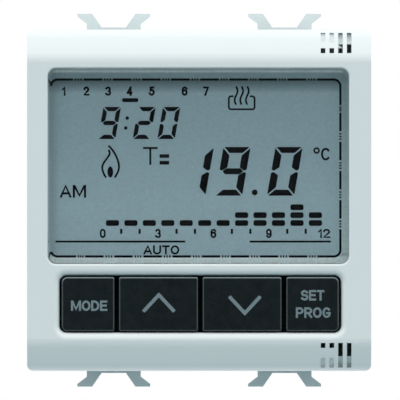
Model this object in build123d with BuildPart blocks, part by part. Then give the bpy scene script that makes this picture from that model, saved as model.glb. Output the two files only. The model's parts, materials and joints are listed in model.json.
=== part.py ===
from build123d import *
import os

# Two-module programmable room thermostat with a weekly timer, for a flush mounting box.
# Frame: +X to the right seen from the front, +Y to the rear, +Z up. The origin is the centre
# of the plane where the cover's rim seats on the support frame. All sizes are millimetres.

# ------------------------------------------------------------------ driving dimensions
# Front cover
face_width = 45.0             # two 22.5 mm modules
face_height = 44.7
face_corner = 0.8             # corner radius seen from the front
cover_depth = 13.0            # front face ahead of the rim plane
front_wall = 2.0
side_wall = 1.4
top_wall = 1.65
band_height = 3.75            # sloping band above and below the flat part of the face
slope_drop = 2.2              # how far the sloping bands fall back at the edge
slope_bulge = 0.17            # crown of the sloping bands
slope_round = 2.6             # rounding between flat face and sloping band
edge_round = 2.4              # where a sloping band meets the top or bottom wall
band_wall = 1.1               # depth of the wall behind a band
band_wall_inset = 0.5         # inner flat narrower than the outer one

# Display window, seen from the front
window_width = 39.4
window_height = 25.6
window_corner = 1.1
window_centre_x = -0.1
window_centre_z = 4.45
window_edge_round = 0.25
lens_recess = 0.4             # lens front behind the cover's face
lens_edge = 0.35
lens_clearance = 0.05
lens_flange = 0.7             # flange outside the opening
lens_flange_thickness = 0.8

# Liquid crystal display
lcd_gap = 0.1
lcd_margin = 0.6              # display glass outside the window, at the sides
lcd_margin_z = 0.5
film_thickness = 0.2
glass_thickness = 0.7
contact_ledge = 1.8           # front glass beyond the rear glass, for the contact strips
contact_strip_inset = 1.5     # strip's ends inside the glass
contact_strip_height = 1.6

# Keys
key_field_width = 36.8
key_field_height = 7.46
key_field_corner = 0.9
key_field_x = 0.15
key_field_z = -13.57
key_gap = 0.53                # between neighbouring keys
key_side_gap = 0.25           # between the outer keys and the cover
key_top_gap = 0.18
outer_key_width = 6.95
key_recess = 0.25             # key face behind the cover's face
key_corner = 0.3
key_outer_corner = 0.75
key_edge = 0.25
key_flange = 0.4
key_flange_thickness = 0.8
key_travel = 0.5
key_window_margin_x = 0.6     # opening in the holder, around the key field
key_window_margin_z = 0.9
key_field_round = 0.9         # rounding around the key field

# Ventilation slots
slot_width = 0.6
slot_pitch = 1.14
slot_count = 4
slot_inset = 6.3              # first slot from the cover's side
slot_edge = 0.45              # slots' ends from the cover's top and bottom
slot_top_length = 2.67
slot_bottom_length = 3.24
slot_hole = 0.65              # open length of the two inner slots
slot_hole_end = 1.95          # outer slots are open up to here from the cover's edge
slot_blind_length = 1.3       # blind part of the two inner slots, nearest the edge
slot_groove = 0.2             # depth of the blind part of the inner slots
slot_outer_groove = 0.6       # depth of the blind part of the outer slots
slot_end_deeper = 0.25        # a blind part deepens by this at its end
slot_overlap = 0.05
slot_web = 0.5                # slanted web across the third slot
slot_web_recess = 0.2

# Display holder
holder_clearance = 0.2
holder_plate = 1.3
holder_web = 2.3
holder_wall = 0.65
holder_sill_x = 4.3           # support under the display's ends
holder_sill_z = 0.9
holder_low_gap = 0.35         # below the lens flange
strip_clearance = 0.1

# Key switches
switch_size = 6.0
switch_height = 3.5
plunger_radius = 1.7
plunger_proud = 0.7
plunger_sunk = 1.0
plunger_clearance = 0.05
plunger_end_gap = 0.1

# Boards
board_clearance = 0.3
logic_board_thickness = 1.2
power_board_thickness = 1.6
power_board_margin = 0.3
power_board_gap = 0.2         # to the clip pockets
block_gap = 1.8               # from the power board to the terminal block
board_screw_radius = 0.8
board_screw_head = 1.5
board_screw_head_height = 1.0
board_screw_bite = 2.0
board_screw_spread = 9.0      # above and below the window's centre
board_screw_gap = 0.1
power_screw_bite = 4.0
screw_end_gap = 0.1
screw_clearance = 0.02

# Rear housing
body_depth = 35.0             # rear face behind the rim plane
housing_clearance = 0.1
housing_wall = 1.5
housing_corner = 1.0
housing_bevel = 0.7
nib_height = 0.5
nib_length = 6.0
nib_width = 1.2
nib_z = 10.0
nib_clearance = 0.15
nib_root = 0.2                # nib inside the housing's wall
nib_toe = 0.1
pillar_radius = 1.8
pillar_margin = 0.5
pillar_root = 0.2             # pillar inside the rear wall
air_slot_margin = 1.5
air_slot_count = 7
air_slot_width = 1.4
air_slot_pitch = 3.6
panel_width = 28.0            # shallow blank panel on the rear wall
panel_depth = 0.3
panel_low_margin = 3.0
panel_high_margin = 5.0

# Frame clips
module_pitch = 22.5
clip_front = 2.2              # front of the claws behind the rim plane
claw_thickness = 1.8
claw_tip_reach = 2.2          # tips beyond the cover's edge
claw_bar_reach = 0.4
claw_shoulder = 0.5           # above the bar, where a claw leans outwards
claw_tip_height = 0.35
claw_round = 0.25
claw_clearance = 0.4
claw_tip_span = 9.6
claw_tip_width = 1.95
claw_base_width = 7.1
claw_root_width = 1.95
clip_arm_width = 6.0
clip_arm_thickness = 1.1
clip_bead_radius = 1.0
clip_sink = 0.1               # arm below the housing's face
clip_ramp = 5.0
clip_pivot_drop = 1.6         # pivot axis below the housing's face
pocket_side_clearance = 0.45
pocket_depth = 4.4
pocket_wall = 1.2
pocket_end_wall = 0.9
pivot_margin = 2.2            # pivot axis ahead of the terminal block
pocket_side_wall = 1.5
pivot_clearance = 0.05
trunnion = 0.8

# Terminals
pole_count = 5
pole_pitch = 7.62
block_height = 10.2
block_wall = 1.0
block_floor = 3.0
wire_radius = 1.6
bore_margin = 0.1             # cage opening beyond the wire bore
cage_width = 5.6
cage_height = 5.8
cage_front_wall = 1.0
cage_rear_wall = 1.2
cage_side_wall = 0.8
cage_travel = 2.5
cage_clearance = 0.1
bar_thickness = 0.8
bar_clearance = 0.2
bar_end_gap = 0.1
bar_slot_clearance = 0.05
bar_leg_width = 2.0
bar_tongue_width = 1.0
terminal_screw_radius = 1.4
terminal_screw_clearance = 0.05
terminal_head_radius = 1.85
terminal_head_height = 1.4
terminal_head_depth = 1.2
terminal_head_clearance = 0.15
bearing_wall = 1.2
screw_slot_width = 0.6
screw_slot_depth = 0.7
screw_edge = 0.2

# Parts on the boards
part_gap = 1.0                # between neighbouring parts
board_edge_gap = 0.6
relay_size = (15.4, 15.3, 19.0)
relay_corner = 0.6
dropper_size = (18.0, 14.5, 8.5)
dropper_corner = 0.8
smoothing_radius = 5.0
smoothing_height = 12.5
smoothing_edge = 0.6
varistor_radius = 4.5
varistor_thickness = 4.0
varistor_edge = 1.0
varistor_lift = 1.5
varistor_leads = (0.8, 2.5)   # half spacings of the leads along X and Z
resistor_radius = 1.6
resistor_length = 9.0
resistor_lift = 0.4
diode_radius = 1.2
diode_length = 4.2
diode_pitch = 3.0
diode_lift = 0.3
diode_first = 4.2             # first diode from the pillar
lead_radius = 0.3
lead_bend = 0.6
lead_reach = 1.2              # from a part's end to its bent lead
header_pins = 6
header_pitch = 2.54
header_width = 2.5
header_strip_height = 2.5
header_socket_height = 8.5
header_pin = 0.64
header_grip = 3.0
header_gap = 0.3              # from the pillar
header_end_gap = 0.2
chip_size = (10.0, 1.4, 10.0)
chip_x = -4.0
chip_gap = 0.25               # below the pin strip
chip_edge = 0.2
crystal_radius = 1.0
crystal_length = 6.0
crystal_edge = 0.25
crystal_place = (8.0, 2.0)
cell_radius = 6.0
cell_thickness = 3.2
cell_edge = 0.5
cell_place = (-10.0, -9.0)
sensor_radius = 0.75
sensor_lift = 2.2             # bead ahead of the logic board
sensor_lead_radius = 0.15
sensor_lead_spacing = 0.9
sensor_inset = 0.2
sensor_gap = 0.1
sheet_thickness = 0.4
sheet_clearance = 0.3
sheet_passage_gap = 0.4
through = 1.0                 # how far cuts run past the surface they open

# ------------------------------------------------------------------ derived places
half_w = face_width / 2
half_h = face_height / 2
y_face = -cover_depth
y_wall = y_face + front_wall
cavity_x = half_w - side_wall
cavity_z = half_h - top_wall
flat_half = half_h - band_height
window_low = window_centre_z - window_height / 2

y_lens_back = y_wall + lens_flange_thickness
y_lcd = y_lens_back + lcd_gap
y_front_glass = y_lcd + film_thickness
y_rear_glass = y_front_glass + glass_thickness
y_reflector = y_rear_glass + glass_thickness
y_web = y_reflector + film_thickness
lcd_width = window_width + 2 * lcd_margin
lcd_height = window_height + 2 * lcd_margin_z
contact_strip_length = lcd_width - 2 * contact_strip_inset
holder_window = lcd_width / 2 - holder_sill_x

y_key_face = y_face + key_recess
y_key_back = y_wall + key_flange_thickness
y_switch = y_key_back + plunger_proud
y_board = max(y_switch + switch_height, y_web + holder_web)
y_board_back = y_board + logic_board_thickness

housing_x = cavity_x - housing_clearance
housing_z = cavity_z - housing_clearance
inner_x = housing_x - housing_wall
inner_z = housing_z - housing_wall
y_rear_wall = body_depth - housing_wall

block_top = -housing_z + block_height
block_x = inner_x - housing_clearance

y_head = body_depth - terminal_head_depth - terminal_head_height
y_bearing = y_head - bearing_wall
y_cage_rear = y_bearing - cage_clearance - cage_travel
y_bar = y_cage_rear - cage_rear_wall - bar_clearance
wire_gap = 2 * (wire_radius + bore_margin)
y_cage_inner = y_bar - bar_thickness - wire_gap
y_cage = y_cage_inner - cage_front_wall
y_cage_cavity = y_cage - bar_clearance
y_block = y_cage_cavity - block_wall
wire_y = y_bar - bar_thickness - wire_gap / 2
cage_low = -housing_z + block_floor + bar_clearance
cage_high = cage_low + cage_height
screw_z = (cage_low + cage_high) / 2
pole_x = [(i - (pole_count - 1) / 2) * pole_pitch for i in range(pole_count)]

clip_x = module_pitch / 2
pivot_y = y_block - pivot_margin
pivot_z = housing_z - clip_pivot_drop
claw_tip_z = half_h + claw_tip_reach
claw_bar_z = half_h + claw_bar_reach
pocket_end = y_block - pocket_end_wall
pocket_floor = housing_z - pocket_depth
pocket_half = max(claw_base_width / 2 + claw_clearance, clip_arm_width / 2) + pocket_side_clearance
bulge_half = pocket_half + pocket_side_wall
bulge_floor = pocket_floor - pocket_wall

y_power_back = y_block - block_gap
y_power = y_power_back - power_board_thickness
power_z = bulge_floor - power_board_gap
power_x = inner_x - power_board_margin
pillar_x = power_x - pillar_radius
pillar_z = power_z - pillar_radius - pillar_margin

key_height = key_field_height - 2 * key_top_gap
inner_key_width = (key_field_width - 2 * key_side_gap - 3 * key_gap) / 2 - outer_key_width
inner_key_x = key_gap / 2 + inner_key_width / 2
outer_key_x = key_gap * 1.5 + inner_key_width + outer_key_width / 2
keys = {
    "mode": (key_field_x - outer_key_x, outer_key_width),
    "up": (key_field_x - inner_key_x, inner_key_width),
    "down": (key_field_x + inner_key_x, inner_key_width),
    "program": (key_field_x + outer_key_x, outer_key_width),
}

board_screw_x = inner_x - board_screw_head - board_screw_gap
board_screw_z = (window_centre_z - board_screw_spread, window_centre_z + board_screw_spread)
header_z = pillar_z
header_length = header_pins * header_pitch
header_x = pillar_x - pillar_radius - header_gap - header_length / 2
header_pin_x = [header_x + (i - (header_pins - 1) / 2) * header_pitch for i in range(header_pins)]

os.makedirs("parts", exist_ok=True)


def span(x, y, z, mode=Mode.ADD):
    """Box between the given low and high values on each axis."""
    centre = ((x[0] + x[1]) / 2, (y[0] + y[1]) / 2, (z[0] + z[1]) / 2)
    with Locations(centre):
        Box(abs(x[1] - x[0]), abs(y[1] - y[0]), abs(z[1] - z[0]), mode=mode)


def rod(x, z, radius, y, mode=Mode.ADD):
    """Cylinder along Y between two values of Y."""
    with Locations((x, (y[0] + y[1]) / 2, z)):
        Cylinder(radius, abs(y[1] - y[0]), rotation=(90, 0, 0), mode=mode)


def square_pin(x, size, y, mode=Mode.ADD):
    """Square pin of the link between the boards, along Y."""
    half = size / 2
    span((x - half, x + half), y, (header_z - half, header_z + half), mode)


def band_surface(z):
    """Y of the sloping bands' surface at a height above the cover's middle."""
    return y_face + slope_drop * (z - flat_half) / band_height


def save(part, name):
    part.label = name
    export_step(part, f"parts/{name}.step")


# ------------------------------------------------------------------ front cover
slot_x = [half_w - slot_inset + i * slot_pitch for i in range(slot_count)]
slot_end = half_h - slot_edge
y_edge = y_face + slope_drop
inner_flat = flat_half - band_wall_inset
y_inner_edge = y_face + slope_drop * (cavity_z - flat_half) / band_height + band_wall

with BuildPart() as front_cover:
    with BuildSketch(Plane.YZ) as side_view:
        with BuildLine():
            Polyline((y_face, -flat_half), (y_face, flat_half))
            SagittaArc((y_face, flat_half), (y_edge, half_h), slope_bulge)
            Polyline((y_edge, half_h), (0, half_h), (0, -half_h), (y_edge, -half_h))
            SagittaArc((y_edge, -half_h), (y_face, -flat_half), slope_bulge)
        make_face()
        fillet(side_view.vertices().group_by(Axis.X)[0], slope_round)
        fillet(side_view.vertices().group_by(Axis.X)[-2], edge_round)
    extrude(amount=half_w, both=True)
    with BuildSketch(Plane.XZ):
        RectangleRounded(face_width, face_height, face_corner)
    extrude(amount=cover_depth * 2, both=True, mode=Mode.INTERSECT)

    # Hollow behind the face, following the sloping bands
    with BuildSketch(Plane.YZ):
        with BuildLine():
            Polyline(
                (through, -cavity_z), (y_inner_edge, -cavity_z), (y_wall, -inner_flat),
                (y_wall, inner_flat), (y_inner_edge, cavity_z), (through, cavity_z), close=True,
            )
        make_face()
    extrude(amount=cavity_x, both=True, mode=Mode.SUBTRACT)

    # Window for the display lens
    with BuildSketch(Plane.XZ.offset(-y_face)):
        with Locations((window_centre_x, window_centre_z)):
            RectangleRounded(window_width, window_height, window_corner)
    extrude(amount=-front_wall, mode=Mode.SUBTRACT)
    fillet(front_cover.edges(Select.LAST).group_by(Axis.Y)[0], window_edge_round)

    # Opening of the key field
    with BuildSketch(Plane.XZ.offset(-y_face)):
        with Locations((key_field_x, key_field_z)):
            RectangleRounded(key_field_width, key_field_height, key_field_corner)
    extrude(amount=-front_wall, mode=Mode.SUBTRACT)
    fillet(front_cover.edges(Select.LAST).group_by(Axis.Y)[0], key_field_round)

    # Ventilation slots through the sloping bands
    for side, length in ((1, slot_top_length), (-1, slot_bottom_length)):
        inner_end = slot_end - length
        for i, x in enumerate(slot_x):
            inner = i < 2
            open_end = inner_end + slot_hole if inner else half_h - slot_hole_end
            blind_end = slot_end - slot_blind_length if inner else open_end - slot_overlap
            depth = slot_groove if inner else slot_outer_groove
            with BuildSketch(Plane.YZ.offset(x)):
                with BuildLine():
                    Polyline(
                        (y_face - through, side * inner_end),
                        (y_inner_edge + through, side * inner_end),
                        (y_inner_edge + through, side * open_end),
                        (y_face - through, side * open_end),
                        close=True,
                    )
                make_face()
                with BuildLine():
                    Polyline(
                        (y_face - through, side * blind_end),
                        (band_surface(blind_end) + depth, side * blind_end),
                        (band_surface(slot_end) + depth + slot_end_deeper, side * slot_end),
                        (y_face - through, side * slot_end),
                        close=True,
                    )
                make_face()
            extrude(amount=slot_width / 2, both=True, mode=Mode.SUBTRACT)
    # Slanted web across the third slot at the top
    with BuildSketch(Plane.XZ.offset(-y_inner_edge)):
        with BuildLine():
            web = slot_end - slot_top_length + slot_hole
            Polyline(
                (slot_x[2] - slot_width / 2, web),
                (slot_x[2] + slot_width / 2, web),
                (slot_x[2] - slot_width / 2, web + slot_web),
                close=True,
            )
        make_face()
    extrude(amount=band_wall - slot_web_recess)

    # Pockets for the housing's snap nibs
    for side in (-1, 1):
        for z in (-nib_z, nib_z):
            reach = nib_height + nib_clearance
            pocket_x = sorted((side * housing_x, side * (housing_x + reach)))
            pocket_y = (-nib_width * 2 - nib_clearance, -nib_width + nib_clearance)
            half = nib_length / 2 + nib_clearance
            span(pocket_x, pocket_y, (z - half, z + half), Mode.SUBTRACT)
save(front_cover.part, "front_cover")

# ------------------------------------------------------------------ display lens
with BuildPart() as display_window:
    with BuildSketch(Plane.XZ.offset(-y_wall)):
        with Locations((window_centre_x, window_centre_z)):
            RectangleRounded(
                window_width - 2 * lens_clearance, window_height - 2 * lens_clearance, window_corner
            )
    extrude(amount=front_wall - lens_recess)
    fillet(display_window.faces().sort_by(Axis.Y)[0].edges(), lens_edge)
    with BuildSketch(Plane.XZ.offset(-y_wall)):
        with Locations((window_centre_x, window_centre_z)):
            RectangleRounded(
                window_width + 2 * lens_flange, window_height + 2 * lens_flange, window_corner
            )
    extrude(amount=-lens_flange_thickness)
save(display_window.part, "display_window")

# ------------------------------------------------------------------ liquid crystal display
lcd_x = (window_centre_x - lcd_width / 2, window_centre_x + lcd_width / 2)
lcd_z = (window_centre_z - lcd_height / 2, window_centre_z + lcd_height / 2)
rear_glass_z = (lcd_z[0] + contact_ledge, lcd_z[1] - contact_ledge)
layers = {
    "lcd_front_polariser": ((y_lcd, y_front_glass), lcd_z),
    "lcd_front_glass": ((y_front_glass, y_rear_glass), lcd_z),
    "lcd_rear_glass": ((y_rear_glass, y_reflector), rear_glass_z),
    "lcd_reflector": ((y_reflector, y_web), rear_glass_z),
}
for name, (depth, height) in layers.items():
    with BuildPart() as layer:
        span(lcd_x, depth, height)
    save(layer.part, name)

strip_x = (window_centre_x - contact_strip_length / 2, window_centre_x + contact_strip_length / 2)
strip_edge = (contact_ledge - contact_strip_height) / 2
strips = {
    "contact_strip_upper": (lcd_z[1] - strip_edge - contact_strip_height, lcd_z[1] - strip_edge),
    "contact_strip_lower": (lcd_z[0] + strip_edge, lcd_z[0] + strip_edge + contact_strip_height),
}
for name, height in strips.items():
    with BuildPart() as strip:
        span(strip_x, (y_rear_glass, y_board), height)
    save(strip.part, name)

# ------------------------------------------------------------------ display holder
holder_x = cavity_x - holder_clearance
holder_z = cavity_z - holder_clearance
holder_low = window_low - lens_flange - holder_low_gap
holder_high = lcd_z[1] + holder_wall
key_window_half = key_field_width / 2 + key_window_margin_x
key_window_low = key_field_z - key_field_height / 2 - key_flange - key_window_margin_z

with BuildPart() as display_holder:
    span((-holder_x, holder_x), (y_lens_back, y_board), (holder_low, holder_high))
    span((-holder_x, holder_x), (y_board - holder_plate, y_board), (-holder_z, holder_z))
    # Tray for the display
    tray_x = (lcd_x[0] - lens_clearance, lcd_x[1] + lens_clearance)
    tray_z = (lcd_z[0] - lens_clearance, lcd_z[1] + lens_clearance)
    span(tray_x, (y_lens_back, y_web), tray_z, Mode.SUBTRACT)
    # Opening behind the display, contact strip slots and key window
    span(
        (-holder_window, holder_window),
        (y_web, y_board),
        (rear_glass_z[0] + holder_sill_z, rear_glass_z[1] - holder_sill_z),
        Mode.SUBTRACT,
    )
    for height in strips.values():
        slot = (height[0] - lens_clearance, height[1] + lens_clearance)
        length = (strip_x[0] - strip_clearance, strip_x[1] + strip_clearance)
        span(length, (y_web, y_board), slot, Mode.SUBTRACT)
    span(
        (key_field_x - key_window_half, key_field_x + key_window_half),
        (y_board - holder_plate, y_board),
        (key_window_low, holder_low),
        Mode.SUBTRACT,
    )
    for x in (-board_screw_x, board_screw_x):
        for z in board_screw_z:
            hole = (y_board - board_screw_bite - screw_end_gap, y_board)
            rod(x, z, board_screw_radius + screw_clearance, hole, Mode.SUBTRACT)
save(display_holder.part, "display_holder")

# ------------------------------------------------------------------ keys, plungers and switches
for name, (x, width) in keys.items():
    key_x = (x - width / 2, x + width / 2)
    key_z = (key_field_z - key_height / 2, key_field_z + key_height / 2)
    with BuildPart() as key:
        span(key_x, (y_key_face, y_wall), key_z)
        depth_edges = key.edges().filter_by(Axis.Y)
        if name in ("mode", "program"):
            outer = depth_edges.sort_by(lambda e: abs(e.center().X))[-2:]
            fillet(outer, key_outer_corner)
            inner = key.edges().filter_by(Axis.Y).sort_by(lambda e: abs(e.center().X))[:2]
            fillet(inner, key_corner)
        else:
            fillet(depth_edges, key_corner)
        fillet(key.faces().sort_by(Axis.Y)[0].edges(), key_edge)
        span(key_x, (y_wall, y_key_back), (key_z[0] - key_flange, key_z[1] + key_flange))
    save(key.part, f"key_{name}")

    with BuildPart() as plunger:
        rod(x, key_field_z, plunger_radius, (y_key_back, y_switch + plunger_sunk))
    save(plunger.part, f"plunger_{name}")

    with BuildPart() as switch:
        half = switch_size / 2
        span((x - half, x + half), (y_switch, y_board), (key_field_z - half, key_field_z + half))
        well = (y_switch, y_switch + plunger_sunk + key_travel + plunger_end_gap)
        rod(x, key_field_z, plunger_radius + plunger_clearance, well, Mode.SUBTRACT)
    save(switch.part, f"switch_{name}")

# ------------------------------------------------------------------ logic board and its parts
logic_x = cavity_x - board_clearance
logic_z = cavity_z - board_clearance
with BuildPart() as logic_board:
    span((-logic_x, logic_x), (y_board, y_board_back), (-logic_z, logic_z))
    for x in (-board_screw_x, board_screw_x):
        for z in board_screw_z:
            rod(x, z, board_screw_radius + screw_clearance, (y_board, y_board_back), Mode.SUBTRACT)
    for x in header_pin_x:
        square_pin(x, header_pin + 2 * screw_clearance, (y_board, y_board_back), Mode.SUBTRACT)
save(logic_board.part, "logic_board")

with BuildPart() as board_screws:
    for x in (-board_screw_x, board_screw_x):
        for z in board_screw_z:
            rod(x, z, board_screw_radius, (y_board - board_screw_bite, y_board_back))
            rod(x, z, board_screw_head, (y_board_back, y_board_back + board_screw_head_height))
save(board_screws.part, "board_screws")

chip_high = header_z - header_width / 2 - chip_gap
with BuildPart() as microcontroller:
    half = chip_size[0] / 2
    chip_z = (chip_high - chip_size[2], chip_high)
    span((chip_x - half, chip_x + half), (y_board_back, y_board_back + chip_size[1]), chip_z)
    chamfer(microcontroller.faces().sort_by(Axis.Y)[-1].edges(), chip_edge)
save(microcontroller.part, "microcontroller")

with BuildPart() as quartz_crystal:
    with Locations((crystal_place[0], y_board_back + crystal_radius, crystal_place[1])):
        Cylinder(crystal_radius, crystal_length, rotation=(0, 90, 0))
    fillet(quartz_crystal.edges().filter_by(GeomType.CIRCLE), crystal_edge)
save(quartz_crystal.part, "quartz_crystal")

with BuildPart() as backup_cell:
    rod(*cell_place, cell_radius, (y_board_back, y_board_back + cell_thickness))
    fillet(backup_cell.faces().sort_by(Axis.Y)[-1].edges(), cell_edge)
save(backup_cell.part, "backup_cell")

sensor_x = key_field_x + key_field_width / 2 - sensor_inset
sensor_z = key_window_low + sensor_radius + sensor_gap
sensor_y = y_board - sensor_lift
with BuildPart() as room_sensor:
    with Locations((sensor_x, sensor_y, sensor_z)):
        Sphere(sensor_radius)
    for side in (-1, 1):
        x = sensor_x + side * sensor_lead_spacing / 2
        rod(x, sensor_z, sensor_lead_radius, (sensor_y, y_board))
save(room_sensor.part, "room_sensor")

# ------------------------------------------------------------------ link between the boards
strip_back = y_board_back + header_strip_height
socket_front = y_power - header_socket_height
header_half = (header_x - header_length / 2, header_x + header_length / 2)
header_deep = (header_z - header_width / 2, header_z + header_width / 2)
with BuildPart() as pin_strip:
    span(header_half, (y_board_back, strip_back), header_deep)
    for x in header_pin_x:
        square_pin(x, header_pin, (y_board_back, strip_back), Mode.SUBTRACT)
save(pin_strip.part, "pin_strip")

with BuildPart() as link_pins:
    for x in header_pin_x:
        square_pin(x, header_pin, (y_board, socket_front + header_grip))
save(link_pins.part, "link_pins")

with BuildPart() as link_socket:
    span(header_half, (socket_front, y_power), header_deep)
    well = (socket_front, socket_front + header_grip + header_end_gap)
    for x in header_pin_x:
        square_pin(x, header_pin + 2 * screw_clearance, well, Mode.SUBTRACT)
save(link_socket.part, "link_socket")

# ------------------------------------------------------------------ power board and its parts
bar_leg_z = block_top + bar_thickness / 2
bar_hole_radius = bar_tongue_width / 2 + bar_clearance
with BuildPart() as power_board:
    span((-power_x, power_x), (y_power, y_power_back), (-power_z, power_z))
    for x in pole_x:
        rod(x, bar_leg_z, bar_hole_radius, (y_power, y_power_back), Mode.SUBTRACT)
    for side in (-1, 1):
        hole = board_screw_radius + screw_clearance
        rod(side * pillar_x, pillar_z, hole, (y_power, y_power_back), Mode.SUBTRACT)
save(power_board.part, "power_board")

with BuildPart() as power_board_screws:
    for side in (-1, 1):
        shank = (y_power, y_power_back + power_screw_bite)
        rod(side * pillar_x, pillar_z, board_screw_radius, shank)
        rod(side * pillar_x, pillar_z, board_screw_head, (y_power - board_screw_head_height, y_power))
save(power_board_screws.part, "power_board_screws")

relay_x = (board_edge_gap - power_x, board_edge_gap - power_x + relay_size[0])
relay_z = (part_gap - power_z, part_gap - power_z + relay_size[2])
with BuildPart() as relay:
    span(relay_x, (y_power - relay_size[1], y_power), relay_z)
    fillet(relay.edges().filter_by(Axis.Y), relay_corner)
save(relay.part, "relay")

dropper_x = (relay_x[1] + part_gap, relay_x[1] + part_gap + dropper_size[0])
dropper_z = (part_gap - power_z, part_gap - power_z + dropper_size[2])
with BuildPart() as dropper_capacitor:
    span(dropper_x, (y_power - dropper_size[1], y_power), dropper_z)
    fillet(dropper_capacitor.edges().filter_by(Axis.Y), dropper_corner)
save(dropper_capacitor.part, "dropper_capacitor")

smoothing_x = power_x - board_edge_gap - smoothing_radius
smoothing_z = dropper_z[1] + part_gap + smoothing_radius
with BuildPart() as smoothing_capacitor:
    rod(smoothing_x, smoothing_z, smoothing_radius, (y_power - smoothing_height, y_power))
    fillet(smoothing_capacitor.faces().sort_by(Axis.Y)[0].edges(), smoothing_edge)
save(smoothing_capacitor.part, "smoothing_capacitor")

varistor_x = relay_x[1] + part_gap + varistor_thickness / 2
varistor_z = dropper_z[1] + part_gap + varistor_radius
varistor_y = y_power - varistor_lift - varistor_radius
with BuildPart() as varistor:
    with Locations((varistor_x, varistor_y, varistor_z)):
        Cylinder(varistor_radius, varistor_thickness, rotation=(0, 90, 0))
    fillet(varistor.edges().filter_by(GeomType.CIRCLE), varistor_edge)
    for side in (-1, 1):
        x = varistor_x + side * varistor_leads[0]
        z = varistor_z + side * varistor_leads[1]
        rod(x, z, lead_radius, (varistor_y, y_power))
save(varistor.part, "varistor")

resistor_z = varistor_z + varistor_radius + part_gap + resistor_radius
resistor_x = relay_x[1] + part_gap + resistor_length / 2 + lead_reach
resistor_y = y_power - resistor_radius - resistor_lift
with BuildPart() as fusible_resistor:
    ends = [resistor_x + side * (resistor_length / 2 + lead_reach) for side in (-1, 1)]
    with BuildLine(Plane.XY.offset(resistor_z)):
        FilletPolyline(
            (ends[0], y_power), (ends[0], resistor_y), (ends[1], resistor_y), (ends[1], y_power),
            radius=lead_bend,
        )
    with BuildSketch(Plane.XZ.offset(-y_power)):
        with Locations((ends[0], resistor_z)):
            Circle(lead_radius)
    sweep()
    with Locations((resistor_x, resistor_y, resistor_z)):
        Cylinder(resistor_radius, resistor_length, rotation=(0, 90, 0))
save(fusible_resistor.part, "fusible_resistor")

diode_z = relay_z[1] + part_gap + lead_reach + diode_length / 2
diode_y = y_power - diode_radius - diode_lift
with BuildPart() as rectifier_diodes:
    for i in range(4):
        x = -pillar_x + diode_first + i * diode_pitch
        ends = [diode_z + side * (diode_length / 2 + lead_reach) for side in (-1, 1)]
        with BuildLine(Plane.YZ.offset(x)):
            FilletPolyline(
                (y_power, ends[0]), (diode_y, ends[0]), (diode_y, ends[1]), (y_power, ends[1]),
                radius=lead_bend,
            )
        with BuildSketch(Plane.XZ.offset(-y_power)):
            with Locations((x, ends[0])):
                Circle(lead_radius)
        sweep()
        with Locations((x, diode_y, diode_z)):
            Cylinder(diode_radius, diode_length)
save(rectifier_diodes.part, "rectifier_diodes")

sheet_x = inner_x - sheet_clearance
sheet_y = y_power - relay_size[1] - sheet_thickness
with BuildPart() as insulation_sheet:
    span((-sheet_x, sheet_x), (sheet_y, sheet_y + sheet_thickness), (-power_z, power_z))
    passage = (header_half[0] - sheet_passage_gap, header_half[1] + sheet_passage_gap)
    height = (header_deep[0] - sheet_passage_gap, power_z)
    span(passage, (sheet_y, sheet_y + sheet_thickness), height, Mode.SUBTRACT)
save(insulation_sheet.part, "insulation_sheet")

# ------------------------------------------------------------------ rear housing
with BuildPart() as rear_housing:
    with BuildSketch(Plane.XZ.offset(-y_board_back)):
        RectangleRounded(2 * housing_x, 2 * housing_z, housing_corner)
    extrude(amount=-(body_depth - y_board_back))
    chamfer(rear_housing.faces().sort_by(Axis.Y)[-1].edges(), housing_bevel)
    span((-inner_x, inner_x), (y_board_back, y_rear_wall), (-inner_z, inner_z), Mode.SUBTRACT)
    # Pockets for the frame clips, walled off from the inside
    for x in (-clip_x, clip_x):
        for side in (-1, 1):
            wall_z = sorted((side * bulge_floor, side * inner_z))
            hole_z = sorted((side * pocket_floor, side * (housing_z + through)))
            span((x - bulge_half, x + bulge_half), (0, y_block), wall_z)
            span((x - pocket_half, x + pocket_half), (pocket_wall, pocket_end), hole_z, Mode.SUBTRACT)
            with Locations((x, pivot_y, side * pivot_z)):
                Cylinder(
                    clip_bead_radius + pivot_clearance,
                    2 * (pocket_half + trunnion + pivot_clearance),
                    rotation=(0, 90, 0),
                    mode=Mode.SUBTRACT,
                )
    # Pillars for the power board
    for side in (-1, 1):
        rod(side * pillar_x, pillar_z, pillar_radius, (y_power_back, y_rear_wall + pillar_root))
        hole = board_screw_radius + screw_clearance
        depth = (y_power_back, y_power_back + power_screw_bite + screw_end_gap)
        rod(side * pillar_x, pillar_z, hole, depth, Mode.SUBTRACT)
    # Seat of the terminal block, open below and at the rear
    seat_x = block_x + housing_clearance / 2
    span(
        (-seat_x, seat_x),
        (y_block, body_depth + through),
        (-housing_z - through, block_top - block_wall + housing_clearance / 2),
        Mode.SUBTRACT,
    )
    # Air slots above the hot parts and a shallow panel on the rear wall
    air_y = (y_block + air_slot_margin, y_rear_wall - air_slot_margin)
    for i in range(air_slot_count):
        x = (i - (air_slot_count - 1) / 2) * air_slot_pitch
        half = air_slot_width / 2
        span((x - half, x + half), air_y, (inner_z - through, housing_z + through), Mode.SUBTRACT)
    half = panel_width / 2
    panel_y = (body_depth - panel_depth, body_depth + through)
    panel_z = (block_top + panel_low_margin, inner_z - panel_high_margin)
    span((-half, half), panel_y, panel_z, Mode.SUBTRACT)
    # Nibs that snap into the cover
    for side in (-1, 1):
        for z in (-nib_z, nib_z):
            with BuildSketch(Plane.XY.offset(z - nib_length / 2)):
                with BuildLine():
                    Polyline(
                        (side * (housing_x - nib_root), -2 * nib_width),
                        (side * (housing_x + nib_toe), -2 * nib_width),
                        (side * (housing_x + nib_height), -nib_width),
                        (side * (housing_x - nib_root), -nib_width),
                        close=True,
                    )
                make_face()
            extrude(amount=nib_length)
save(rear_housing.part, "rear_housing")

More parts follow.
